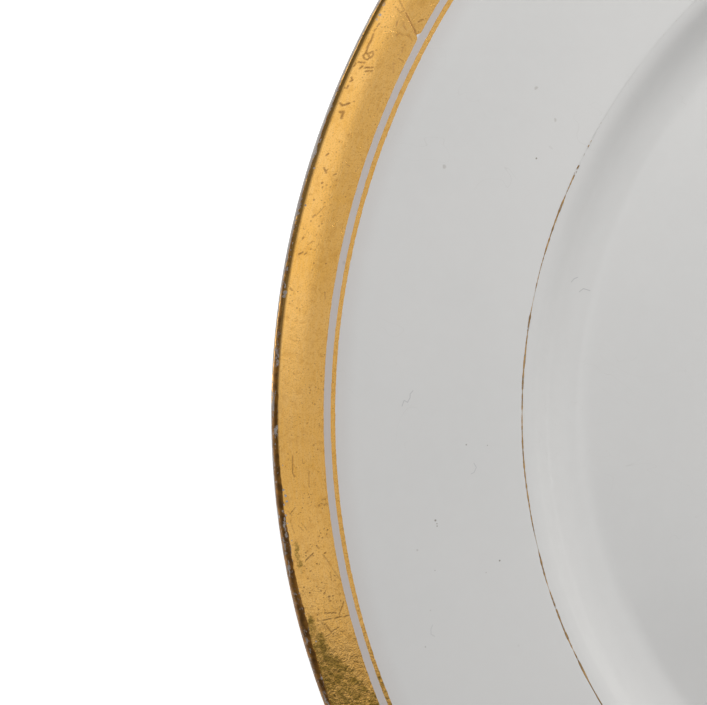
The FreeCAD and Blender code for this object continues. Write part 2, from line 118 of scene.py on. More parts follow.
class Run:
    """Points of an outline as rows of (radius, height, heading)."""

    def __init__(self):
        self.rows = []

    def _add(self, rows):
        self.rows += rows[1:] if self.rows else rows
        return self

    def line(self, p, q, n, grade=1.0):
        h = math.degrees(math.atan2(q[1] - p[1], q[0] - p[0]))
        out = []
        for i in range(n + 1):
            t = (i / n) ** grade
            out.append((p[0] + (q[0] - p[0]) * t, p[1] + (q[1] - p[1]) * t, h))
        return self._add(out)

    def arc(self, c, r, h0, h1, n, clockwise):
        on = on_cw if clockwise else on_ccw
        out = []
        for i in range(n + 1):
            h = h0 + (h1 - h0) * i / n
            p = on(c, r, h)
            out.append((p[0], p[1], h))
        return self._add(out)

    def array(self):
        return np.array(self.rows, float)


def offset(rows, by):
    """The outline moved off the clay by a distance, which may differ from row to row."""
    h = np.radians(rows[:, 2])
    out = rows.copy()
    out[:, 0] = np.maximum(rows[:, 0] - by * np.sin(h), 0)
    out[:, 1] = rows[:, 1] + by * np.cos(h)
    return out


def face_and_back(fine=1.0):
    def n(k):
        return max(2, int(round(k * fine)))

    run = Run()
    run.line((0, WELL_Z), floor_end, n(12))
    run.arc(bowl, WALL_R, 0, WALL, n(22), False)
    run.line(wall_foot, wall_top, n(4))
    run.arc(verge, VERGE_R, WALL, RIM, n(22), True)
    run.line(rim_in, rim_out, n(12))
    run.arc(crown, CROWN_R, RIM, turn, n(16), True)
    run.arc(nose, NOSE_R, turn, under, n(40), True)
    run.line(nose_low, bend_out, n(8))
    run.arc(bend_c, B_VERGE_R, under, back, n(9), False)
    run.line(run.rows[-1][:2], back_top, n(3))
    run.arc(back_c, B_WALL_R, back, meet_h, n(16), True)
    run.arc(fillet_c, F_OUT, meet_h, down, n(12), False)
    run.line(run.rows[-1][:2], low_out, n(5))
    return run


# ------------------------------------------------------------------ meshes
def ring_mesh(name, prof, thetas, closed):
    """A surface of revolution. prof is (rows, 2) or (columns, rows, 2) in millimetres. closed
    joins the last row to the first; otherwise both ends of the outline lie on the axis."""
    nt = len(thetas)
    if prof.ndim == 2:
        prof = np.broadcast_to(prof, (nt,) + prof.shape)
    rows = prof.shape[1]
    ring = prof if closed else prof[:, 1:-1]
    k = ring.shape[1]
    c, s = np.cos(thetas)[:, None], np.sin(thetas)[:, None]
    co = np.stack([ring[..., 0] * c, ring[..., 0] * s, ring[..., 1]], -1).reshape(-1, 3)
    j = np.arange(nt)[:, None]
    jn = (j + 1) % nt
    i = np.arange(k if closed else k - 1)[None, :]
    i_n = (i + 1) % k
    quads = np.stack([j * k + i, j * k + i_n, jn * k + i_n, jn * k + i], -1)
    faces = quads.reshape(-1, 4).tolist()
    if not closed:
        top, bottom = len(co), len(co) + 1
        co = np.vstack([co, [[0, 0, prof[0, 0, 1]], [0, 0, prof[0, rows - 1, 1]]]])
        for a in range(nt):
            b = (a + 1) % nt
            faces.append([top, a * k, b * k])
            faces.append([bottom, b * k + k - 1, a * k + k - 1])
    mesh = bpy.data.meshes.new(name)
    mesh.from_pydata((co * MM).tolist(), [], faces)
    mesh.polygons.foreach_set("use_smooth", np.ones(len(mesh.polygons), bool))
    mesh.update()
    obj = bpy.data.objects.new(name, mesh)
    bpy.context.scene.collection.objects.link(obj)
    return obj


def put(obj, name, values, kind="FLOAT"):
    layer = obj.data.attributes.new(name, kind, "POINT")
    field = "vector" if kind == "FLOAT_VECTOR" else "value"
    layer.data.foreach_set(field, np.asarray(values, np.float32).ravel())


def smooth(x, a, b):
    t = np.clip((x - a) / (b - a), 0, 1)
    return t * t * (3 - 2 * t)


def wave_noise(theta, seed, lowest, count, fall=0.8):
    """Smooth noise round the plate, without a seam, of about unit size."""
    r = np.random.default_rng(seed)
    out, size = np.zeros_like(theta), 0.0
    for n in range(count):
        f = lowest * 2**n
        amp = fall**n
        for m in (f, f + r.integers(1, max(2, f))):
            out += amp * np.sin(m * theta + r.uniform(0, 2 * np.pi))
            size += amp * amp / 2
    return out / math.sqrt(size)


EVEN = np.linspace(0, 2 * np.pi, 360, endpoint=False)
# closer columns in the quadrant with the listed wear
DENSE_0, DENSE_1 = math.radians(146.5), math.radians(207.5)
coarse = np.linspace(DENSE_1, DENSE_0 + 2 * np.pi, 290, endpoint=False)


def columns(step_mm, radius):
    n = int((DENSE_1 - DENSE_0) * radius / step_mm)
    return np.concatenate(
        [np.linspace(DENSE_0, DENSE_1, n, endpoint=False), coarse]
    ) % (2 * np.pi)


# ------------------------------------------------------------------ wear, measured
# Angles in degrees from +X, radii in millimetres: scratches as (points, half width, depth),
# pits as (angle, radius, size, depth), worn-through spots the same way, tarnish as
# (angle, radius, size across, size along, strength).
STROKES = [
    ([(150.244, 130.203), (150.659, 128.778)], 0.090, 0.65),
    ([(150.778, 128.478), (151.2, 127.061), (151.612, 125.592), (151.699, 125.16)], 0.150, 1.00),
    ([(150.659, 128.778), (150.914, 129.27), (150.802, 129.855)], 0.100, 0.52),
    ([(150.924, 126.136), (150.709, 125.955), (150.554, 125.625)], 0.110, 0.78),
    ([(151.541, 128.932), (151.812, 128.719)], 0.120, 0.72),
    ([(151.394, 128.081), (151.615, 127.663), (151.78, 127.02)], 0.160, 0.52),
    ([(151.996, 126.318), (152.215, 125.617)], 0.110, 0.45),
    ([(152.445, 128.139), (152.184, 127.862), (152.173, 127.287)], 0.130, 0.39),
    ([(152.259, 131.276), (152.51, 131.41)], 0.090, 0.65),
    ([(152.659, 131.378), (152.897, 131.459)], 0.090, 0.65),
    ([(153.071, 131.4), (153.483, 131.285), (153.807, 131.347)], 0.120, 0.78),
    ([(153.807, 131.347), (154.157, 131.242), (154.446, 131.139)], 0.100, 0.91),
    ([(154.446, 131.139), (154.681, 131.381), (154.835, 130.93), (154.827, 130.441), (154.588, 130.341), (154.447, 130.852), (154.446, 131.139)], 0.100, 0.91),
    ([(154.335, 130.617), (154.135, 130.264), (154.325, 129.984), (154.602, 130.112), (154.562, 130.512)], 0.090, 0.78),
    ([(155.367, 130.296), (155.128, 129.196)], 0.100, 1.00),
    ([(155.576, 130.009), (155.346, 129.04)], 0.100, 0.98),
    ([(155.228, 131.648), (155.064, 130.687)], 0.100, 0.78),
    ([(155.599, 131.047), (155.352, 130.738)], 0.110, 0.78),
    ([(155.607, 132.027), (155.373, 131.919)], 0.110, 0.78),
    ([(156.641, 131.54), (156.497, 131.262), (156.347, 131.594)], 0.100, 0.91),
    ([(157.188, 132.054), (157.14, 131.613), (156.916, 131.55)], 0.100, 0.78),
    ([(158.233, 131.836), (158.343, 131.251), (158.007, 130.377)], 0.120, 1.00),
    ([(158.795, 131.26), (158.703, 130.72), (158.891, 130.761), (159.147, 130.675)], 0.200, 0.72),
    ([(153.79, 126.174), (153.809, 125.426)], 0.120, 0.65),
    ([(152.934, 126.403), (153.269, 126.17)], 0.110, 0.52),
    ([(154.222, 126.646), (154.845, 125.984)], 0.090, 0.45),
    ([(161.876, 131.056), (161.724, 130.809)], 0.110, 0.70),
    ([(162.73, 130.827), (163.014, 130.16)], 0.090, 0.80),
    ([(162.931, 130.452), (162.766, 130.099)], 0.080, 0.60),
    ([(163.0, 128.953), (162.877, 128.663)], 0.090, 0.70),
    ([(162.025, 127.493), (162.061, 126.98)], 0.090, 0.60),
    ([(166.049, 129.965), (165.344, 129.137)], 0.070, 0.35),
    ([(168.872, 131.299), (168.661, 130.709)], 0.100, 0.70),
    ([(168.803, 130.417), (168.676, 130.123)], 0.090, 0.60),
    ([(167.801, 131.221), (167.642, 131.086)], 0.100, 0.70),
    ([(171.255, 131.689), (171.374, 131.3)], 0.090, 0.70),
    ([(171.131, 126.232), (171.631, 125.99)], 0.070, 0.50),
    ([(166.16, 130.365), (166.001, 130.146)], 0.110, 0.50),
    ([(168.055, 130.152), (167.779, 129.368)], 0.070, 0.40),
    ([(182.754, 130.013), (183.954, 130.124), (184.243, 129.901)], 0.070, 0.75),
    ([(183.962, 127.588), (185.02, 127.778)], 0.070, 0.40),
    ([(186.333, 126.122), (186.515, 125.107)], 0.079, 0.38),
    ([(186.072, 125.876), (186.08, 125.33)], 0.058, 0.34),
    ([(187.211, 128.274), (187.514, 128.052)], 0.058, 0.42),
    ([(186.403, 130.296), (186.836, 131.27)], 0.050, 0.51),
    ([(186.625, 131.485), (186.936, 130.897)], 0.050, 0.51),
    ([(187.541, 129.559), (188.034, 128.89)], 0.050, 0.34),
    ([(187.667, 130.146), (188.078, 129.454)], 0.050, 0.34),
    ([(187.281, 131.216), (188.144, 130.939)], 0.050, 0.38),
    ([(189.301, 127.767), (189.527, 127.447)], 0.072, 0.59),
    ([(190.187, 129.862), (189.796, 128.508)], 0.072, 0.65),
    ([(190.009, 127.024), (190.531, 126.402)], 0.050, 0.41),
    ([(190.531, 126.402), (191.273, 125.791)], 0.050, 0.27),
    ([(191.273, 125.791), (192.177, 124.992)], 0.058, 0.34),
    ([(191.38, 126.396), (191.966, 126.479)], 0.058, 0.34),
    ([(194.123, 128.778), (194.315, 126.965)], 0.065, 0.51),
    ([(194.473, 126.513), (193.963, 125.685), (193.678, 125.314)], 0.065, 0.44),
    ([(194.567, 130.117), (194.622, 128.466), (194.667, 127.047), (194.779, 124.998)], 0.050, 0.41),
    ([(194.894, 129.109), (195.629, 128.476)], 0.079, 0.65),
    ([(194.732, 129.553), (195.325, 129.132)], 0.050, 0.41),
    ([(195.538, 128.419), (195.368, 127.08)], 0.065, 0.48),
    ([(195.717, 129.378), (195.695, 128.638)], 0.065, 0.34),
    ([(193.14, 127.464), (193.403, 127.543)], 0.058, 0.41),
    ([(194.7, 127.428), (194.69, 126.458)], 0.050, 0.27),
]
DOTS = [
    (163.756, 130.359, 0.25, 0.80),
    (163.821, 129.540, 0.14, 0.70),
    (164.030, 130.102, 0.16, 0.80),
    (163.841, 128.905, 0.16, 0.60),
    (163.273, 128.268, 0.17, 0.60),
    (165.018, 130.875, 0.20, 0.70),
    (164.913, 129.703, 0.13, 0.50),
    (164.980, 129.122, 0.13, 0.50),
    (165.061, 128.145, 0.13, 0.50),
    (165.716, 130.616, 0.11, 0.50),
    (165.612, 128.210, 0.13, 0.50),
    (165.982, 129.234, 0.14, 0.60),
    (166.290, 128.140, 0.11, 0.50),
    (166.459, 128.741, 0.19, 0.70),
    (166.647, 129.101, 0.14, 0.70),
    (167.307, 128.376, 0.14, 0.50),
    (167.316, 129.138, 0.13, 0.50),
    (168.343, 129.558, 0.16, 0.70),
    (168.348, 128.870, 0.13, 0.60),
    (169.254, 128.698, 0.17, 0.70),
    (169.122, 126.772, 0.19, 0.80),
    (169.749, 128.722, 0.13, 0.50),
    (171.136, 126.306, 0.11, 0.70),
    (164.223, 126.249, 0.14, 0.70),
    (164.255, 129.726, 0.09, 0.40),
    (164.738, 131.743, 0.14, 0.50),
    (164.423, 128.612, 0.11, 0.40),
    (167.105, 131.390, 0.13, 0.50),
    (166.477, 130.497, 0.20, 0.45),
    (150.584, 125.737, 0.16, 0.80),
    (153.508, 131.256, 0.19, 0.70),
    (153.801, 125.944, 0.20, 0.90),
    (157.784, 129.816, 0.17, 0.70),
    (152.272, 130.241, 0.14, 0.60),
    (152.891, 129.076, 0.14, 0.70),
    (152.737, 126.262, 0.13, 0.70),
    (150.761, 130.204, 0.20, 0.40),
    (156.876, 127.798, 0.14, 0.50),
    (157.833, 127.256, 0.13, 0.50),
    (156.029, 126.426, 0.14, 0.30),
    (152.306, 131.291, 0.13, 0.60),
    (151.215, 130.880, 0.11, 0.40),
    (157.074, 125.633, 0.11, 0.40),
    (152.348, 129.130, 0.11, 0.40),
    (182.545, 129.303, 0.14, 0.90),
    (185.051, 127.638, 0.13, 0.70),
    (185.586, 127.952, 0.09, 0.70),
    (186.503, 129.175, 0.11, 0.80),
    (186.704, 126.070, 0.11, 0.70),
    (188.188, 126.190, 0.13, 0.60),
    (188.329, 125.684, 0.14, 0.70),
    (188.609, 125.868, 0.13, 0.70),
    (188.789, 126.665, 0.13, 0.60),
    (188.639, 127.073, 0.13, 0.60),
    (188.433, 126.820, 0.13, 0.60),
    (188.987, 127.415, 0.11, 0.60),
    (189.270, 128.455, 0.09, 0.80),
    (189.919, 126.619, 0.16, 0.95),
    (181.337, 128.140, 0.19, 0.50),
    (181.446, 128.995, 0.13, 0.50),
    (182.103, 126.602, 0.24, 0.50),
    (182.424, 125.997, 0.13, 0.50),
    (184.221, 129.861, 0.13, 0.60),
    (189.662, 129.652, 0.13, 0.70),
    (183.058, 130.683, 0.13, 0.40),
    (189.714, 134.025, 0.16, 0.50),
    (192.750, 128.039, 0.17, 0.90),
    (193.070, 127.368, 0.17, 0.90),
    (193.059, 126.764, 0.14, 0.70),
    (193.564, 125.771, 0.14, 0.70),
    (193.791, 129.550, 0.14, 0.70),
    (194.134, 129.924, 0.13, 0.60),
    (194.329, 127.033, 0.16, 0.90),
    (194.664, 126.985, 0.13, 0.80),
    (194.547, 126.496, 0.11, 0.70),
    (195.735, 128.301, 0.19, 0.80),
    (193.057, 127.481, 0.13, 0.70),
    (193.539, 126.417, 0.11, 0.60),
    (193.058, 125.627, 0.09, 0.60),
]
WORN = [
    (150.974, 132.138, 0.50, 0.55),
    (151.370, 132.221, 0.35, 0.30),
    (151.730, 131.849, 0.41, 0.60),
    (152.091, 131.915, 0.47, 0.40),
    (151.840, 132.924, 0.22, 0.40),
    (162.950, 132.230, 0.20, 1.00),
    (165.526, 132.036, 0.22, 0.90),
    (165.365, 131.669, 0.16, 0.50),
    (171.576, 132.368, 0.36, 1.00),
    (171.842, 132.431, 0.28, 0.90),
    (166.560, 132.602, 0.19, 0.60),
    (163.654, 132.833, 0.20, 0.70),
    (183.392, 131.632, 0.19, 0.70),
    (185.093, 131.842, 0.25, 0.80),
    (185.502, 131.568, 0.28, 0.90),
    (185.905, 131.481, 0.25, 0.80),
    (186.122, 131.991, 0.28, 0.70),
    (186.844, 131.910, 0.24, 0.70),
    (187.414, 131.712, 0.24, 0.60),
    (187.897, 131.682, 0.20, 0.60),
    (188.635, 131.474, 0.20, 0.60),
    (189.290, 131.347, 0.19, 0.50),
    (192.010, 131.890, 0.22, 0.60),
    (195.869, 131.230, 0.25, 0.60),
    (196.039, 131.584, 0.19, 0.50),
    (198.685, 131.969, 0.25, 0.50),
    (195.520, 130.582, 0.16, 0.50),
    (193.783, 131.819, 0.22, 0.60),
]
TARNISH = [
    (194.700, 131.300, 0.80, 1.60, 0.95),
    (196.500, 130.300, 1.20, 1.60, 1.00),
    (198.000, 128.900, 1.30, 1.50, 1.00),
    (199.500, 127.400, 1.30, 1.30, 0.90),
    (189.200, 131.000, 0.55, 1.50, 0.85),
    (190.188, 130.900, 0.65, 2.28, 0.74),
    (189.500, 131.300, 0.39, 1.44, 0.68),
    (190.634, 129.046, 0.70, 0.55, 0.30),
    (192.889, 127.028, 0.60, 0.45, 0.40),
    (194.458, 131.172, 0.78, 1.68, 1.00),
    (195.900, 130.300, 1.04, 1.80, 0.94),
    (197.200, 129.600, 1.17, 1.56, 0.74),
    (198.600, 127.900, 1.43, 1.20, 0.61),
    (193.979, 129.080, 0.70, 0.70, 0.20),
]

# Marks on the glaze, in millimetres: cutlery nicks as bent strokes, and specks.
NICKS = [
    ([(-110.689, 3.721, 17.951), (-111.156, 3.201, 18.027), (-111.155, 2.626, 18.024), (-111.557, 1.882, 18.090), (-112.122, 2.195, 18.187), (-112.459, 1.291, 18.242)], 0.055, 0.30),
    ([(-100.699, -8.136, 16.297), (-100.318, -8.841, 16.243), (-100.679, -9.640, 16.316), (-101.139, -9.870, 16.398)], 0.050, 0.26),
    ([(-107.478, -33.988, 18.286), (-107.756, -34.665, 18.366), (-107.725, -35.468, 18.403), (-107.138, -35.833, 18.328)], 0.050, 0.20),
    ([(-84.089, 20.945, 10.204), (-83.591, 21.485, 9.985), (-82.938, 21.713, 9.660)], 0.060, 0.30),
    ([(-82.553, 19.335, 9.207), (-81.851, 19.844, 8.982), (-80.695, 19.507, 8.603)], 0.060, 0.32),
]
SPECKS = [
    ((-107.013, -17.191, 17.548), 0.160, 0.62),
    ((-106.768, -17.730, 17.522), 0.100, 0.50),
    ((-106.735, -18.118, 17.527), 0.110, 0.55),
    ((-109.960, -21.860, 18.182), 0.160, 0.20),
    ((-107.077, -25.233, 17.825), 0.090, 0.35),
    ((-101.976, -5.131, 16.480), 0.120, 0.50),
    ((-98.498, -5.327, 15.891), 0.090, 0.40),
    ((-96.421, -24.068, 16.017), 0.130, 0.70),
    ((-98.677, -25.923, 16.467), 0.090, 0.30),
    ((-108.657, -37.443, 18.661), 0.100, 0.40),
    ((-107.833, -31.629, 18.227), 0.100, 0.20),
    ((-90.897, 40.706, 16.054), 0.130, 0.70),
]

# ------------------------------------------------------------------ light levels
FLOOR_GLOW = 0.62
AMBIENT, BOX, HOT, STRIP = 0.163, 0.46, 0.32, 0.20
RIGHT, LEFT = 0.10, 0.20
BOX_EDGE = -0.262
KEY, KEY_AT = 1.30, (0.10, 0.28, 0.235)


def polar_mm(theta_deg, radius):
    """Flat coordinates for distances on the band: along the rim and across it."""
    return np.radians(theta_deg) * 129.0, radius


def draw_marks(theta, radius):
    """Depth of scratches and pits, and strength of worn spots and tarnish, at each point."""
    deg = np.degrees(theta)
    a, b = polar_mm(deg, radius)
    flat = np.column_stack([a, b])
    mark = np.zeros(len(a))
    wobble = rng.normal(0, 1, len(a))
    for pts, half, depth in STROKES:
        line = np.array([polar_mm(*p) for p in pts])
        low, high = line.min(0) - 1, line.max(0) + 1
        near = np.where(((flat > low) & (flat < high)).all(1))[0]
        p = flat[near]
        best = np.full(len(near), 9.0)
        for q0, q1 in zip(line[:-1], line[1:]):
            d = q1 - q0
            t = np.clip(((p - q0) @ d) / max(d @ d, 1e-9), 0, 1)
            best = np.minimum(best, np.linalg.norm(p - q0 - t[:, None] * d, axis=1))
        v = depth * (1 - smooth(best, half * 0.45, half * 1.35 + 0.04))
        mark[near] = np.maximum(mark[near], v * (1 + 0.18 * wobble[near]))
    for t0, r0, size, depth in DOTS:
        c = np.array(polar_mm(t0, r0))
        d = np.linalg.norm(flat - c, axis=1)
        mark = np.maximum(mark, depth * (1 - smooth(d, size * 0.3, size * 0.95 + 0.02)))
    worn = np.zeros(len(a))
    for t0, r0, size, depth in WORN:
        c = np.array(polar_mm(t0, r0))
        d = np.linalg.norm(flat - c, axis=1)
        worn = np.maximum(worn, depth * (1 - smooth(d, size * 0.3, size * 1.5)))
    tarnish_and_painted_shade = np.zeros(len(a))
    for t0, r0, across, along, depth in TARNISH:
        c = np.array(polar_mm(t0, r0))
        d = np.hypot((flat[:, 0] - c[0]) / along, (flat[:, 1] - c[1]) / across)
        tarnish_and_painted_shade = np.maximum(tarnish_and_painted_shade, 0.95 * depth * (1 - smooth(d, 0.1, 1.5)))
    return np.clip(mark, 0, 1), worn, tarnish_and_painted_shade


# ------------------------------------------------------------------ materials
class Shade:
    """A node tree with short names for the nodes used here."""

    def __init__(self, name):
        self.mat = bpy.data.materials.new(name)
        self.mat.use_nodes = True
        self.nt = self.mat.node_tree
        self.bsdf = self.nt.nodes["Principled BSDF"]
        self.obj = self.node("ShaderNodeTexCoord").outputs["Object"]

    def node(self, kind, **props):
        n = self.nt.nodes.new(kind)
        for k, v in props.items():
            setattr(n, k, v)
        return n

    def wire(self, value, socket):
        if isinstance(value, bpy.types.NodeSocket):
            self.nt.links.new(value, socket)
        else:
            socket.default_value = value

    def noise(self, vec, scale, detail=2.0, rough=0.5, warp=0.0):
        n = self.node("ShaderNodeTexNoise")
        self.wire(vec, n.inputs["Vector"])
        n.inputs["Scale"].default_value = scale
        n.inputs["Detail"].default_value = detail
        n.inputs["Roughness"].default_value = rough
        n.inputs["Distortion"].default_value = warp
        return n.outputs["Fac"]

    def cells(self, vec, scale, feature="F1"):
        n = self.node("ShaderNodeTexVoronoi", feature=feature)
        self.wire(vec, n.inputs["Vector"])
        n.inputs["Scale"].default_value = scale
        return n

    def math(self, op, a, b=0.0, c=0.0, clamp=False):
        n = self.node("ShaderNodeMath", operation=op, use_clamp=clamp)
        self.wire(a, n.inputs[0])
        self.wire(b, n.inputs[1])
        self.wire(c, n.inputs[2])
        return n.outputs[0]

    def add(self, *values):
        out = values[0]
        for v in values[1:]:
            out = self.math("ADD", out, v)
        return out

    def mul(self, *values):
        out = values[0]
        for v in values[1:]:
            out = self.math("MULTIPLY", out, v)
        return out

    def step(self, value, a, b, lo=0.0, hi=1.0):
        n = self.node("ShaderNodeMapRange", interpolation_type="SMOOTHSTEP")
        self.wire(value, n.inputs["Value"])
        n.inputs["From Min"].default_value = a
        n.inputs["From Max"].default_value = b
        n.inputs["To Min"].default_value = lo
        n.inputs["To Max"].default_value = hi
        return n.outputs["Result"]

    def attr(self, name, what="Fac"):
        n = self.node("ShaderNodeAttribute", attribute_name=name)
        return n.outputs[what]

    def mix(self, fac, a, b):
        n = self.node("ShaderNodeMix", data_type="RGBA")
        self.wire(fac, n.inputs["Factor"])
        sockets = [s for s in n.inputs if s.type == "RGBA"]
        for s, v in zip(sockets, (a, b)):
            self.wire(v if isinstance(v, bpy.types.NodeSocket) else (*v, 1.0), s)
        return [s for s in n.outputs if s.type == "RGBA"][0]

    def stretch(self, vec, x, y, z):
        n = self.node("ShaderNodeVectorMath", operation="MULTIPLY")
        self.wire(vec, n.inputs[0])
        n.inputs[1].default_value = (x, y, z)
        return n.outputs[0]

    def vec(self, op, a, b, scale=None):
        n = self.node("ShaderNodeVectorMath", operation=op)
        self.wire(a, n.inputs[0])
        if scale is None:
            self.wire(b, n.inputs[1])
        else:
            self.wire(scale, n.inputs["Scale"])
        return n.outputs["Value" if op in ("DOT_PRODUCT", "DISTANCE", "LENGTH") else "Vector"]

    def to_segment(self, p0, p1):
        """Distance from the shaded point to the segment p0 p1, in metres."""
        way = p1 - p0
        rel = self.vec("SUBTRACT", self.obj, tuple(p0))
        t = self.math("MULTIPLY", self.vec("DOT_PRODUCT", rel, tuple(way / (way @ way))), 1.0, clamp=True)
        foot = self.node("ShaderNodeVectorMath", operation="SCALE")
        foot.inputs[0].default_value = tuple(way)
        self.wire(t, foot.inputs["Scale"])
        return self.vec("DISTANCE", rel, foot.outputs["Vector"])

    def bump(self, height, strength=1.0, normal=None):
        """height is in metres."""
        n = self.node("ShaderNodeBump")
        n.inputs["Strength"].default_value = strength
        n.inputs["Distance"].default_value = 1.0
        self.wire(height, n.inputs["Height"])
        if normal is not None:
            self.wire(normal, n.inputs["Normal"])
        return n.outputs["Normal"]

    def put(self, **values):
        names = {
            "color": "Base Color",
            "rough": "Roughness",
            "metal": "Metallic",
            "normal": "Normal",
            "ior": "IOR",
            "coat": "Coat Weight",
            "coat_rough": "Coat Roughness",
            "subsurface": "Subsurface Weight",
            "specular": "Specular IOR Level",
        }
        for k, v in values.items():
            if k == "color" and not isinstance(v, bpy.types.NodeSocket):
                v = (*v, 1.0)
            self.wire(v, self.bsdf.inputs[names[k]])
        return self.mat


def glaze_material():
    s = Shade("glazed_porcelain")
    cloud = s.noise(s.obj, 28, 3, 0.55)
    fine = s.noise(s.obj, 420, 3, 0.6)
    # iron specks: tiny, sparse, pale grey-brown
    cell = s.cells(s.obj, 210)
    pick = s.math("GREATER_THAN", s.noise(s.obj, 95, 1), 0.64)
    speck = s.mul(s.step(cell.outputs["Distance"], 0.05, 0.10, 1, 0), pick, 0.35)
    # cutlery hairlines: very faint, bent, in patches
    bent = s.noise(s.obj, 70, 2, 0.5, 1.5)
    line = s.step(s.math("ABSOLUTE", s.add(bent, -0.5)), 0.0006, 0.0022, 1, 0)
    patch = s.step(s.noise(s.obj, 33, 2), 0.56, 0.66)
    hair = s.mul(line, patch, 0.10)
    nick, spot = 0.0, 0.0
    for points, half, depth in NICKS:
        far = None
        for p0, p1 in zip(points[:-1], points[1:]):
            p0, p1 = np.array(p0) * MM, np.array(p1) * MM
            d = s.to_segment(p0, p1)
            far = d if far is None else s.math("MINIMUM", far, d)
        hit = s.step(far, half * 0.5 * MM, half * 1.9 * MM, depth, 0)
        nick = s.math("MAXIMUM", nick, hit)
    for p0, half, depth in SPECKS:
        d = s.vec("DISTANCE", s.obj, tuple(np.array(p0) * MM))
        spot = s.math("MAXIMUM", spot, s.step(d, half * 0.5 * MM, half * 1.5 * MM, depth, 0))
    base = s.mix(s.step(cloud, 0.3, 0.7), GLAZE_A, GLAZE_B)
    base = s.mix(s.step(fine, 0.35, 0.75, 0, 0.25), base, GLAZE_C)
    # the faint lilac haze that fired gold leaves on the glaze beside it
    xyz = s.node("ShaderNodeSeparateXYZ")
    s.wire(s.obj, xyz.inputs[0])
    x, y, z = xyz.outputs
    r = s.math("SQRT", s.add(s.mul(x, x), s.mul(y, y)))
    face = s.math("GREATER_THAN", z, 0.0175)
    gap = s.mul(s.step(r, 0.12360, 0.12385), s.step(r, 0.1249, 0.1252, 1, 0))
    beside = s.mul(s.step(r, 0.1195, 0.1232), s.step(r, 0.1232, 0.1239, 1, 0), 0.30)
    haze = s.mul(s.math("MAXIMUM", gap, beside), face, s.step(cloud, 0.2, 0.8, 0.85, 1.0))
    base = s.mix(haze, base, HAZE)
    base = s.mix(s.math("MAXIMUM", speck, hair), base, (0.36, 0.33, 0.29))
    base = s.mix(nick, base, (0.22, 0.22, 0.25))
    base = s.mix(spot, base, (0.10, 0.065, 0.03))
    wavy = s.mul(s.noise(s.obj, 75, 2, 0.5), 2.2e-5)
    peel = s.mul(s.noise(s.obj, 650, 2, 0.5), 8.0e-7)
    h = s.add(wavy, peel, s.mul(speck, 4.0e-6))
    rough = s.step(s.noise(s.obj, 160, 3), 0.3, 0.7, 0.05, 0.11)
    return s.put(
        color=base, rough=rough, normal=s.bump(h), ior=1.52, coat=0.0, subsurface=0.0
    )


def clay_material():
    s = Shade("bare_porcelain")
    grain = s.noise(s.obj, 2600, 3, 0.6)
    cloud = s.noise(s.obj, 60, 3)
    base = s.mix(s.step(cloud, 0.3, 0.7), (0.80, 0.78, 0.73), (0.72, 0.69, 0.63))
    # table dirt rubbed into the foot's bare ring
    dirt = s.mul(s.step(s.noise(s.obj, 300, 4, 0.7), 0.52, 0.7), 0.45)
    base = s.mix(dirt, base, (0.42, 0.39, 0.35))
    h = s.mul(grain, 6.0e-6)
    return s.put(
        color=base, rough=s.step(grain, 0.3, 0.7, 0.5, 0.68), normal=s.bump(h), ior=1.5
    )


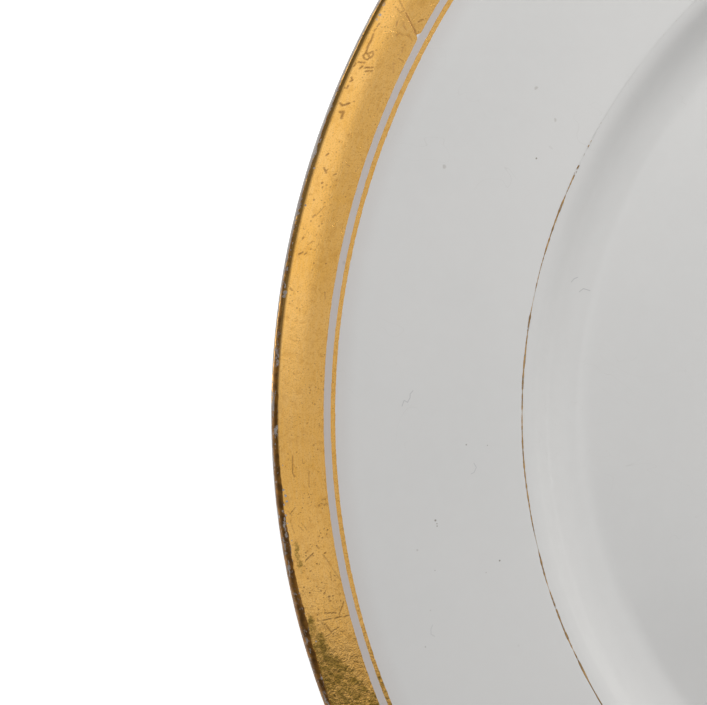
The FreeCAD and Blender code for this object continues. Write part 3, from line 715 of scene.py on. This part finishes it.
def gold_material(name, fine_line=False):
    s = Shade(name)
    run = s.attr("run", "Vector")  # stretched along the rim, without a seam
    relief = s.attr("relief")
    mark, worn = s.attr("mark"), s.attr("worn")
    tarnish_and_painted_shade, lip = s.attr("tarnish_and_painted_shade"), s.attr("lip")
    low = s.noise(s.obj, 45, 3, 0.6)
    mid = s.noise(s.obj, 900, 3, 0.55, 0.4)
    leather = s.noise(s.obj, 1500, 3, 0.6, 1.2)
    fine = s.noise(s.obj, 4200, 3, 0.6)
    streak = s.noise(run, 5200, 2, 0.5)
    fibre = s.noise(run, 11000, 2, 0.5)
    # pits: small dark points, some stretches with many and some with few
    cell = s.cells(s.obj, 1500)
    crowd = s.noise(s.obj, 170, 2, 0.6)
    pit = s.mul(
        s.step(cell.outputs["Distance"], 0.12, 0.30, 1, 0),
        s.step(crowd, 0.42, 0.58),
        s.step(s.noise(s.obj, 2900, 1), 0.47, 0.57),
    )
    # short random scratches
    scr_a = s.noise(s.obj, 260, 1, 0.4, 2.2)
    scr = s.mul(
        s.step(s.math("ABSOLUTE", s.add(scr_a, -0.5)), 0.0012, 0.0045, 1, 0),
        s.step(s.noise(s.obj, 210, 2), 0.57, 0.64),
    )
    dark = s.math("MAXIMUM", s.mul(mark, 0.95), s.mul(s.math("MAXIMUM", pit, scr), 0.45))
    h = s.add(
        s.mul(s.add(leather, -0.5), s.add(s.mul(relief, 1.0e-4), 0.6e-5)),
        s.mul(s.add(mid, -0.5), s.add(s.mul(relief, 6.0e-5), 1.3e-5)),
        s.mul(s.add(fine, -0.5), s.add(s.mul(relief, 0.8e-5), 0.35e-5)),
        s.mul(s.add(streak, -0.5), 0.15e-5),
        s.mul(s.add(fibre, -0.5), 0.05e-5),
        s.mul(s.math("MAXIMUM", mark, s.mul(pit, 0.5)), -1.5e-5),
        s.mul(scr, -0.4e-5),
    )
    base = s.mix(s.step(low, 0.3, 0.7), GOLD_A, GOLD_B)
    base = s.mix(s.step(streak, 0.35, 0.75, 0, 0.35), base, GOLD_C)
    base = s.mix(s.step(fine, 0.52, 0.30, 0, 0.50), base, (0.64, 0.31, 0.05))
    base = s.mix(s.step(mid, 0.50, 0.30, 0, 0.36), base, (0.68, 0.34, 0.07))
    # olive and near-black blotches: tarnish spots, plus painted shade standing in for the dark reflection on one
    # slantwise stretch of the band
    cloudy = s.add(s.mul(tarnish_and_painted_shade, 0.5), s.mul(s.noise(s.obj, 1100, 5, 0.8), 1.4), -0.55)
    blotch = s.step(cloudy, 0.30, 0.60)
    base = s.mix(s.mul(blotch, 0.72), base, (0.25, 0.165, 0.022))
    base = s.mix(s.step(cloudy, 0.52, 0.85, 0, 0.62), base, (0.105, 0.068, 0.008))
    base = s.mix(s.mul(dark, 0.85), base, (0.27, 0.115, 0.03))
    # the lip: a brown edge, partly gold rubbed through and partly painted shade for the dark horizon that the
    # turned-down gold reflects, with porcelain showing in flecks
    edge = s.noise(s.obj, 1300, 4, 0.65)
    edge_low = s.noise(s.obj, 120, 3, 0.6)
    rub_and_painted_shade = s.step(s.add(lip, s.mul(s.add(edge, -0.5), 0.9), s.mul(s.add(edge_low, -0.5), 0.7)), 0.42, 0.60)
    fleck = s.step(s.add(s.mul(s.noise(s.obj, 1300, 5, 0.75), 0.6), s.mul(s.noise(run, 2200, 2), 0.4)), 0.532, 0.590)
    brown = s.mix(s.step(s.noise(s.obj, 800, 3), 0.35, 0.7), (0.125, 0.048, 0.006), (0.34, 0.140, 0.014))
    base = s.mix(s.mul(rub_and_painted_shade, 0.92), base, brown)
    # an orange fringe along the inner side of the brown edge, part of the same rubbing and painted shade
    border = s.mul(s.step(lip, 0.06, 0.30), s.step(lip, 0.45, 0.80, 1, 0), s.step(relief, 0.0, 0.2))
    base = s.mix(s.mul(border, 0.6), base, (0.62, 0.24, 0.02))
    spot = s.step(s.add(worn, s.mul(s.add(edge, -0.5), 0.9)), 0.42, 0.62)
    rim = s.step(s.add(s.attr("bare"), s.mul(s.add(s.noise(s.obj, 700, 4, 0.65), -0.5), 1.1)), 0.46, 0.58)
    show = s.math("MAXIMUM", s.math("MAXIMUM", s.mul(rub_and_painted_shade, fleck), rim), spot)
    base = s.mix(show, base, s.mix(s.step(edge_low, 0.35, 0.65), (0.36, 0.30, 0.26), (0.50, 0.45, 0.41)))
    metal = s.math("SUBTRACT", 1.0, s.math("MAXIMUM", s.mul(dark, 0.35), s.math("MAXIMUM", s.mul(rub_and_painted_shade, 0.34), show)), clamp=True)
    rough = s.add(
        s.step(s.noise(s.obj, 240, 3), 0.3, 0.7, GOLD_ROUGH[0], GOLD_ROUGH[1]),
        s.mul(s.math("MAXIMUM", dark, rub_and_painted_shade), 0.25),
        s.mul(blotch, 0.05),
    )
    return s.put(color=base, rough=rough, metal=metal, normal=s.bump(h), ior=1.5)


GLAZE_A, GLAZE_B, GLAZE_C = (0.752, 0.747, 0.739), (0.732, 0.730, 0.723), (0.768, 0.768, 0.762)
HAZE = (0.585, 0.530, 0.503)
GOLD_A, GOLD_B, GOLD_C = (0.99, 0.570, 0.165), (0.94, 0.510, 0.115), (1.0, 0.64, 0.26)
GOLD_ROUGH = (0.085, 0.14)
glaze_mat, clay_mat = glaze_material(), clay_material()
band_mat = gold_material("worn_burnished_gold")

# ------------------------------------------------------------------ porcelain and glaze
clay_run = face_and_back(1.0)
foot = Run()
foot.arc((low_out[0] - FOOT_RND * cs(DRAFT_OUT), FOOT_RND), FOOT_RND, down, -180, 8, True)
foot.line(foot.rows[-1][:2], (low_in[0] + FOOT_RND * cs(DRAFT_IN), 0), 4)
foot.arc((low_in[0] + FOOT_RND * cs(DRAFT_IN), FOOT_RND), FOOT_RND, 180, up, 8, True)
inner = Run()
in_low = on_ccw(in_c, F_IN, up)
inner.line(low_in, in_low, 4)
inner.arc(in_c, F_IN, up, 180, 14, False)
inner.line((in_c[0], RECESS_Z), (0, RECESS_Z), 10)

coarse_run = face_and_back(0.5).array()
body_prof = np.vstack([coarse_run, foot.array()[1:], inner.array()[1:]])[:, :2]
body = ring_mesh("porcelain_body_clay", body_prof, EVEN, False)
body.data.materials.append(clay_mat)

outer = clay_run.array()
along = np.concatenate([[0], np.cumsum(np.hypot(*np.diff(outer[:, :2], axis=0).T))])
left = along[-1] - along
bead = GLAZE * np.sqrt(np.clip(1 - np.clip(1 - left / 0.5, 0, 1) ** 2, 0, 1))
skin = offset(outer, np.maximum(bead, 0.0))[:, :2]
glaze_prof = np.vstack([skin[:-1], coarse_run[::-1][:, :2]])
coat = ring_mesh("glaze_coat_gloss", glaze_prof, EVEN, False)
coat.data.materials.append(glaze_mat)

rec = inner.array()
along = np.concatenate([[0], np.cumsum(np.hypot(*np.diff(rec[:, :2], axis=0).T))])
bead = GLAZE * np.sqrt(np.clip(1 - np.clip(1 - along / 0.5, 0, 1) ** 2, 0, 1))
under_prof = np.vstack([rec[::-1][:, :2], offset(rec, bead)[1:, :2]])
recess = ring_mesh("recess_glaze_gloss", under_prof, EVEN, False)
recess.data.materials.append(glaze_mat)


# ------------------------------------------------------------------ gold
def tight(rows):
    """The same rows with one more hard by each end, so that the shading turns at the edge only."""
    first = rows[0] + 0.06 * (rows[1] - rows[0])
    last = rows[-1] + 0.06 * (rows[-2] - rows[-1])
    return np.vstack([rows[:1], [first], rows[1:-1], [last], rows[-1:]])


def gold_ring(name, thetas, rows, thick, inner_rows, edge_noise, material, shift=None):
    """A thin closed ring on the glaze. rows run across it; the edges roll down onto the glaze
    and wander a little, as brushed gold does."""
    k = len(rows)
    s = np.concatenate([[0], np.cumsum(np.hypot(*np.diff(rows[:, :2], axis=0).T))])
    lift = 0.003 + (thick - 0.003) * smooth(np.minimum(s, s[-1] - s), 0, 0.3)
    nt = len(thetas)
    base_r = np.broadcast_to(rows[:, 0], (nt, k)).copy()
    base_z = np.broadcast_to(rows[:, 1], (nt, k)).copy()
    h = np.radians(rows[:, 2])[None]
    # the edges wander along the surface
    if edge_noise is not None:
        e0, e1 = edge_noise
        w0 = np.exp(-s / (0.25 * s[-1]))[None]
        w1 = np.exp(-(s[-1] - s) / (0.25 * s[-1]))[None]
        move = e0[:, None] * w0 + e1[:, None] * w1
        base_r += move * np.cos(h)
        base_z += move * np.sin(h)
    up_by = GLAZE + lift[None] + (0 if shift is None else shift)
    top_r, top_z = base_r - up_by * np.sin(h), base_z + up_by * np.cos(h)
    pick = np.unique(np.linspace(0, k - 1, inner_rows).round().astype(int))[1:-1][::-1]
    low_r = (base_r - (GLAZE - 0.02) * np.sin(h))[:, pick]
    low_z = (base_z + (GLAZE - 0.02) * np.cos(h))[:, pick]
    prof = np.stack(
        [np.concatenate([top_r, low_r], 1), np.concatenate([top_z, low_z], 1)], -1
    )
    obj = ring_mesh(name, prof, thetas, True)
    obj.data.materials.append(material)
    t = np.repeat(thetas, prof.shape[1])
    s_all = np.tile(np.concatenate([s, s[pick]]), nt)
    put(
        obj,
        "run",
        np.column_stack([np.cos(t) * 0.014, np.sin(t) * 0.014, s_all * MM]),
        "FLOAT_VECTOR",
    )
    return obj, t, prof.reshape(-1, 2), s_all


def relief_of(t):
    """How leathery the gold is round the rim: strong at one stretch, faint elsewhere."""
    d = np.degrees(t)
    near = smooth(d, 194.5, 202) * (1 - smooth(d, 232, 250))
    else_where = 0.35 * smooth(wave_noise(t, 5, 2, 3), 0.6, 1.6)
    away = 1 - smooth(d, 140, 147) * (1 - smooth(d, 250, 265))
    return np.clip(near + else_where * away, 0, 1)


# rim band: shoulder, crown and nose
gl_nose, gl_crown = NOSE_R, CROWN_R
h_start = math.degrees(math.asin((crown[0] - 124.95) / (CROWN_R + GLAZE)))
h_end = -math.degrees(math.acos(-1.0 / (NOSE_R + GLAZE)))
band = Run()
band.arc(crown, CROWN_R, h_start, turn, 50, True)
band.arc(nose, NOSE_R, turn, h_end, 23, True)
band_rows = tight(band.array())
cols = columns(0.160, 131.0)
edge = (
    0.010 * wave_noise(cols, 11, 19, 5) + 0.009 * wave_noise(cols, 12, 211, 3),
    0.10 * wave_noise(cols, 13, 13, 5) + 0.05 * wave_noise(cols, 14, 151, 3),
)
# the nick where the long scratch runs off the band's inner edge
edge[0][:] += 0.45 * np.exp(-(((np.degrees(cols) - 151.70) / 0.16) ** 2))
K = len(band_rows)
T = np.repeat(cols, K)
s_band = np.concatenate([[0], np.cumsum(np.hypot(*np.diff(band_rows[:, :2], axis=0).T))])
r_grid = np.tile(offset(band_rows, GLAZE)[:, 0], len(cols))
on_face = np.tile(s_band < s_band[-1] - 2.2, len(cols))
mark, worn, tarnish_and_painted_shade = draw_marks(T, np.where(on_face, r_grid, 400.0))
deep = -0.004 * mark.reshape(len(cols), K)
band_obj, t_all, prof_all, s_all = gold_ring(
    "rim_gold_band_worn", cols, band_rows, 0.010, 9, edge, band_mat, deep
)
per = len(prof_all) // len(cols)


def spread(grid):
    """Values of the visible rows, with zeros for the hidden ones."""
    out = np.zeros((len(cols), per), np.float32)
    out[:, :K] = grid.reshape(len(cols), K)
    return out


put(band_obj, "mark", spread(mark))
put(band_obj, "worn", spread(worn))
put(band_obj, "relief", relief_of(t_all))
# a brown edge on the nose, partly rubbing and partly painted shade for the dark horizon it reflects: thin, but wide and
# orange-brown on one stretch
turned = -band_rows[:, 2][None]  # how far the surface has turned from level, degrees
deg = np.degrees(cols)[:, None]
wander = wave_noise(cols, 31, 3, 5)[:, None]
near = smooth(deg, 140, 150) * (1 - smooth(deg, 235, 260))
wide = smooth(deg, 176, 186) * 0.45 + smooth(deg, 190, 197) * 0.55
wide = np.clip(near * wide + (1 - near) * (0.35 + 0.35 * wander) + 0.06 * wander, 0, 1.15)
thin = 1 - smooth(deg, 150, 167) + smooth(deg, 225, 250)
across = np.interp(
    np.degrees(cols) % 360,
    [0, 60, 150, 158, 165, 173, 181, 186, 190, 194.5, 197, 200, 212, 235, 300, 360],
    [0.85, 1.0, 0.52, 0.55, 0.68, 0.92, 1.10, 1.22, 1.42, 1.46, 1.30, 1.12, 1.15, 0.9, 0.8, 0.85],
)
across = across + 0.05 * wave_noise(cols, 33, 40, 4) + 0.03 * wave_noise(cols, 34, 170, 4)
soft = np.interp(np.degrees(cols) % 360, [0, 150, 176, 187, 205, 240, 360], [0.2, 0.24, 0.18, 0.16, 0.08, 0.2, 0.2])
r_rows = offset(band_rows, GLAZE)[:, 0][None]
inward = np.where(turned > 88, 0.0, r_rows.max() - r_rows)  # inside the widest point, mm
lip = 1 - smooth(inward, (across - soft)[:, None], (across + soft)[:, None])
last = 57 + 49 * wide
lip = lip * (1 - smooth(turned, last - 7, last + 9))
faint = (1 - smooth(deg, 166, 180)) * smooth(deg, 140, 150)
put(band_obj, "lip", spread(lip * (0.76 + 0.28 * wide) * (1 - 0.18 * thin) * (1 - 0.17 * faint)))
# painted shade: a clouded, darkened stretch that runs slantwise across the band, for the dark room the gold reflects
# there; it joins the tarnish spots
slant = deg - (192.5 + (133.0 - r_rows) / 8.4 * 8.0)
painted_shade_stretch = smooth(slant, -0.2, 1.2) * (1 - smooth(deg, 214, 236)) * (0.78 + 0.10 * wander)
put(band_obj, "tarnish_and_painted_shade", spread(np.maximum(tarnish_and_painted_shade.reshape(len(cols), K), painted_shade_stretch)))
# the outermost edge, rubbed to the porcelain in flecks
grey = (1 - smooth(deg, 165, 178)) * smooth(deg, 140, 150)
bare = smooth(turned, 54 - 12 * grey, 68 - 12 * grey) * (1 - smooth(turned, 108, 124)) * (0.64 + 0.10 * wander)
bare = bare * (1 - 0.22 * wide) * (1 + 0.45 * grey)
put(band_obj, "bare", spread(bare))

# fine line, on the straight of the rim
slope = math.tan(math.radians(RIM))


def rim_at(r):
    """Clay surface below the glaze point of that radius, on the straight of the rim."""
    r0 = r + GLAZE * sn(RIM)
    return (r0, rim_in[1] + (r0 - rim_in[0]) * slope)


line = Run()
line.line(rim_at(123.12), rim_at(123.84), 8)
cols2 = columns(0.2, 124.0)
# the brush ran a little wider on one side than on the other
d2 = np.degrees(cols2)
brushed = 0.06 * (1 - smooth(d2, 158, 172)) - 0.08 * smooth(d2, 188, 202) + 0.08 * smooth(d2, 215, 250)
line_obj, t2, p2, s2 = gold_ring(
    "rim_gold_line_worn",
    cols2,
    tight(line.array()),
    0.008,
    4,
    (
        0.010 * wave_noise(cols2, 21, 23, 5) + 0.012 * wave_noise(cols2, 22, 241, 3),
        0.010 * wave_noise(cols2, 23, 17, 5) + 0.012 * wave_noise(cols2, 24, 263, 3) + brushed,
    ),
    band_mat,
)
for name in ("mark", "worn", "lip", "bare"):
    put(line_obj, name, np.zeros(len(t2)))
put(line_obj, "relief", 0.04 + 0.5 * relief_of(t2))
d2 = np.degrees(t2) % 360
# painted shade on the fine line, over the same dark-reflecting stretch as the band
put(line_obj, "tarnish_and_painted_shade", 0.5 * smooth(d2, 195, 201) * (1 - smooth(d2, 214, 236)))

# verge hairline: brushed thin and half worn away, so its width changes and it breaks up
R_HAIR, W_HAIR = 92.80, 0.13
cols3 = columns(0.22, 93.0)
d3 = np.degrees(cols3)
fade = smooth(d3, 146, 157) * 0.62 + 0.30 + 0.08 * smooth(d3, 170, 180)
width = W_HAIR * np.clip(
    0.72 + 0.22 * wave_noise(cols3, 41, 15, 4) + 0.20 * wave_noise(cols3, 42, 90, 4), 0.18, 1.25
) * np.clip(fade + 0.25, 0.3, 1.1)
wander = 0.03 * wave_noise(cols3, 43, 7, 4)
ha = np.linspace(-1, 1, 5)
rr = R_HAIR + wander[:, None] + width[:, None] * ha[None]
head = np.degrees(np.arcsin((verge[0] - rr) / (VERGE_R + GLAZE)))
lift3 = 0.008 * np.sqrt(np.clip(1 - (ha[None] * 0.98) ** 2, 0, 1))
hr = np.radians(head)
R3 = VERGE_R + GLAZE + lift3
top3 = np.stack([verge[0] - R3 * np.sin(hr), verge[1] + R3 * np.cos(hr)], -1)
R3b = VERGE_R + GLAZE - 0.02
low3 = np.stack([verge[0] - R3b * np.sin(hr), verge[1] + R3b * np.cos(hr)], -1)[:, 3:0:-1]
hair_obj = ring_mesh("verge_gold_line_worn", np.concatenate([top3, low3], 1), cols3, True)
per3 = 5 + 3
t3 = np.repeat(cols3, per3)
put(hair_obj, "gone", np.repeat(1 - np.clip(fade, 0, 1), per3))
put(hair_obj, "run", np.column_stack([np.cos(t3) * 0.014, np.sin(t3) * 0.014, 0 * t3]), "FLOAT_VECTOR")


def hairline_material():
    s = Shade("worn_gold_hairline")
    gone = s.attr("gone")
    a = s.noise(s.obj, 1500, 3, 0.65)
    b = s.noise(s.obj, 330, 3, 0.6)
    c = s.noise(s.obj, 90, 2, 0.5)
    base = s.mix(s.step(b, 0.35, 0.65), (0.66, 0.40, 0.16), (0.36, 0.22, 0.09))
    base = s.mix(s.step(a, 0.55, 0.7), base, (0.16, 0.09, 0.05))
    bare = s.step(
        s.add(s.mul(a, 0.8), s.mul(b, 0.6), s.mul(c, 0.5), s.mul(gone, 0.55)), 1.06, 1.22
    )
    base = s.mix(bare, base, GLAZE_A)
    metal = s.mul(s.math("SUBTRACT", 1.0, bare, clamp=True), 0.55)
    return s.put(
        color=base, metal=metal, rough=s.step(bare, 0, 1, 0.36, 0.10), normal=s.bump(s.mul(a, 3e-6))
    )


hair_obj.data.materials.append(hairline_material())

# ------------------------------------------------------------------ what rides and replaces
for piece, node, slot in (
    (body, "porcelain_body", "porcelain"),
    (coat, "glaze_coat", "glaze"),
    (recess, "recess_glaze", "glaze"),
    (band_obj, "rim_gold_band", "gold"),
    (line_obj, "rim_gold_line", "gold"),
    (hair_obj, "verge_gold_line", "gold"),
):
    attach(piece, "root")
    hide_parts(node)

# ------------------------------------------------------------------ stage, light and camera
table = bpy.data.meshes.new("floor")
n = 96
ring = [(6 * math.cos(2 * math.pi * i / n), 6 * math.sin(2 * math.pi * i / n), 0) for i in range(n)]
table.from_pydata(ring, [], [list(range(n))])
floor = bpy.data.objects.new("floor", table)
floor.location.z = -0.00002
bpy.context.scene.collection.objects.link(floor)
fl = Shade("pale_floor")
fl.put(color=(0.92, 0.92, 0.92), rough=0.9, specular=0.1)
fl.bsdf.inputs["Emission Color"].default_value = (1, 1, 1, 1)
fl.bsdf.inputs["Emission Strength"].default_value = FLOOR_GLOW
table.materials.append(fl.mat)

world = bpy.data.worlds.new("studio")
bpy.context.scene.world = world
world.use_nodes = True
wt = world.node_tree
for nd in list(wt.nodes):
    wt.nodes.remove(nd)


def W(kind, **props):
    nd = wt.nodes.new(kind)
    for k, v in props.items():
        setattr(nd, k, v)
    return nd


def wm(op, a, b=0.0, clamp=False):
    nd = W("ShaderNodeMath", operation=op, use_clamp=clamp)
    for i, v in enumerate((a, b)):
        if isinstance(v, bpy.types.NodeSocket):
            wt.links.new(v, nd.inputs[i])
        else:
            nd.inputs[i].default_value = v
    return nd.outputs[0]


def ws(value, a, b, lo=0.0, hi=1.0):
    nd = W("ShaderNodeMapRange", interpolation_type="SMOOTHSTEP")
    wt.links.new(value, nd.inputs["Value"])
    for key, v in (("From Min", a), ("From Max", b), ("To Min", lo), ("To Max", hi)):
        nd.inputs[key].default_value = v
    return nd.outputs["Result"]


def wsum(*values):
    out = values[0]
    for v in values[1:]:
        out = wm("ADD", out, v)
    return out


def wprod(*values):
    out = values[0]
    for v in values[1:]:
        out = wm("MULTIPLY", out, v)
    return out


# A soft box overhead, turned a little, that ends just short of the zenith on the near side;
# a brighter patch in it; dim walls; a bright table below.
xyz = W("ShaderNodeSeparateXYZ")
wt.links.new(W("ShaderNodeTexCoord").outputs["Generated"], xyz.inputs[0])
X, Y, Z = xyz.outputs
zc = wm("MAXIMUM", Z, 0.02)
u, v = wm("DIVIDE", X, zc), wm("DIVIDE", Y, zc)
q = wsum(wprod(u, -0.182), wprod(v, 0.983))
p_ = wsum(wprod(u, 0.983), wprod(v, 0.182))
box = wprod(ws(q, BOX_EDGE - 0.006, BOX_EDGE + 0.010), ws(p_, -0.9, -0.35), ws(q, 1.25, 0.6), ws(p_, 1.3, 0.6))
hot = wprod(ws(u, 0.135, 0.045), ws(v, -0.10, 0.0), ws(u, -0.42, -0.22), ws(v, 1.2, 0.7))
strip = wprod(ws(u, 0.47, 0.53), ws(u, 0.80, 0.70), ws(q, -0.35, -0.2))
rise = ws(Z, 0.02, 0.62, 0.6, 1.0)
sky = wprod(
    wsum(
        AMBIENT,
        wprod(box, BOX),
        wprod(hot, HOT),
        wprod(box, ws(v, -0.13, -0.17), ws(u, 0.40, 0.22), 0.09),
        wprod(strip, STRIP),
        wprod(ws(X, 0.50, 0.88), RIGHT),
        wprod(ws(X, -0.88, -0.99), LEFT),
    ),
    rise,
)
below = wm("LESS_THAN", Z, 0.0)
lit = wsum(wprod(sky, wm("SUBTRACT", 1.0, below)), wprod(below, 0.95))
pale = W("ShaderNodeLightPath").outputs["Is Camera Ray"]
strength = wsum(wprod(lit, wm("SUBTRACT", 1.0, pale)), wprod(pale, 0.97))
bg = W("ShaderNodeBackground")
bg.inputs["Color"].default_value = (1.0, 1.0, 1.0, 1.0)
wt.links.new(strength, bg.inputs["Strength"])
wt.links.new(bg.outputs[0], W("ShaderNodeOutputWorld").inputs[0])

key = bpy.data.lights.new("key", "AREA")
key.shape, key.size, key.energy = "DISK", 0.38, KEY
key.color = (1.0, 0.99, 0.97)
key_obj = bpy.data.objects.new("key", key)
bpy.context.scene.collection.objects.link(key_obj)
key_obj.location = KEY_AT
key_obj.rotation_euler = (-Vector(KEY_AT)).to_track_quat("-Z", "Y").to_euler()

# camera from the fit of the plate's concentric edges to the photograph's frame
cam = bpy.data.cameras.new("view")
cam.sensor_width, cam.lens, cam.clip_start = 36.0, 36.0 * 1500.0 / 707.0, 0.01
cam_obj = bpy.data.objects.new("view", cam)
bpy.context.scene.collection.objects.link(cam_obj)
right = (0.9994528529278119, 0.0, 0.03307559182324095)
down_v = (-0.0018359955705351512, -0.9984581826760814, 0.055478707150752725)
ahead = (0.03302459529647655, -0.055509078780687435, -0.9979118790145868)
at = (-0.1280424695827554, 0.02306095665648702, 0.25575544133090827)
cam_obj.matrix_world = Matrix(
    [
        [right[i], -down_v[i], -ahead[i], at[i]]
        for i in range(3)
    ]
    + [[0, 0, 0, 1]]
)
scene = bpy.context.scene
scene.camera = cam_obj
scene.view_settings.view_transform = "Standard"
scene.view_settings.look = "None"
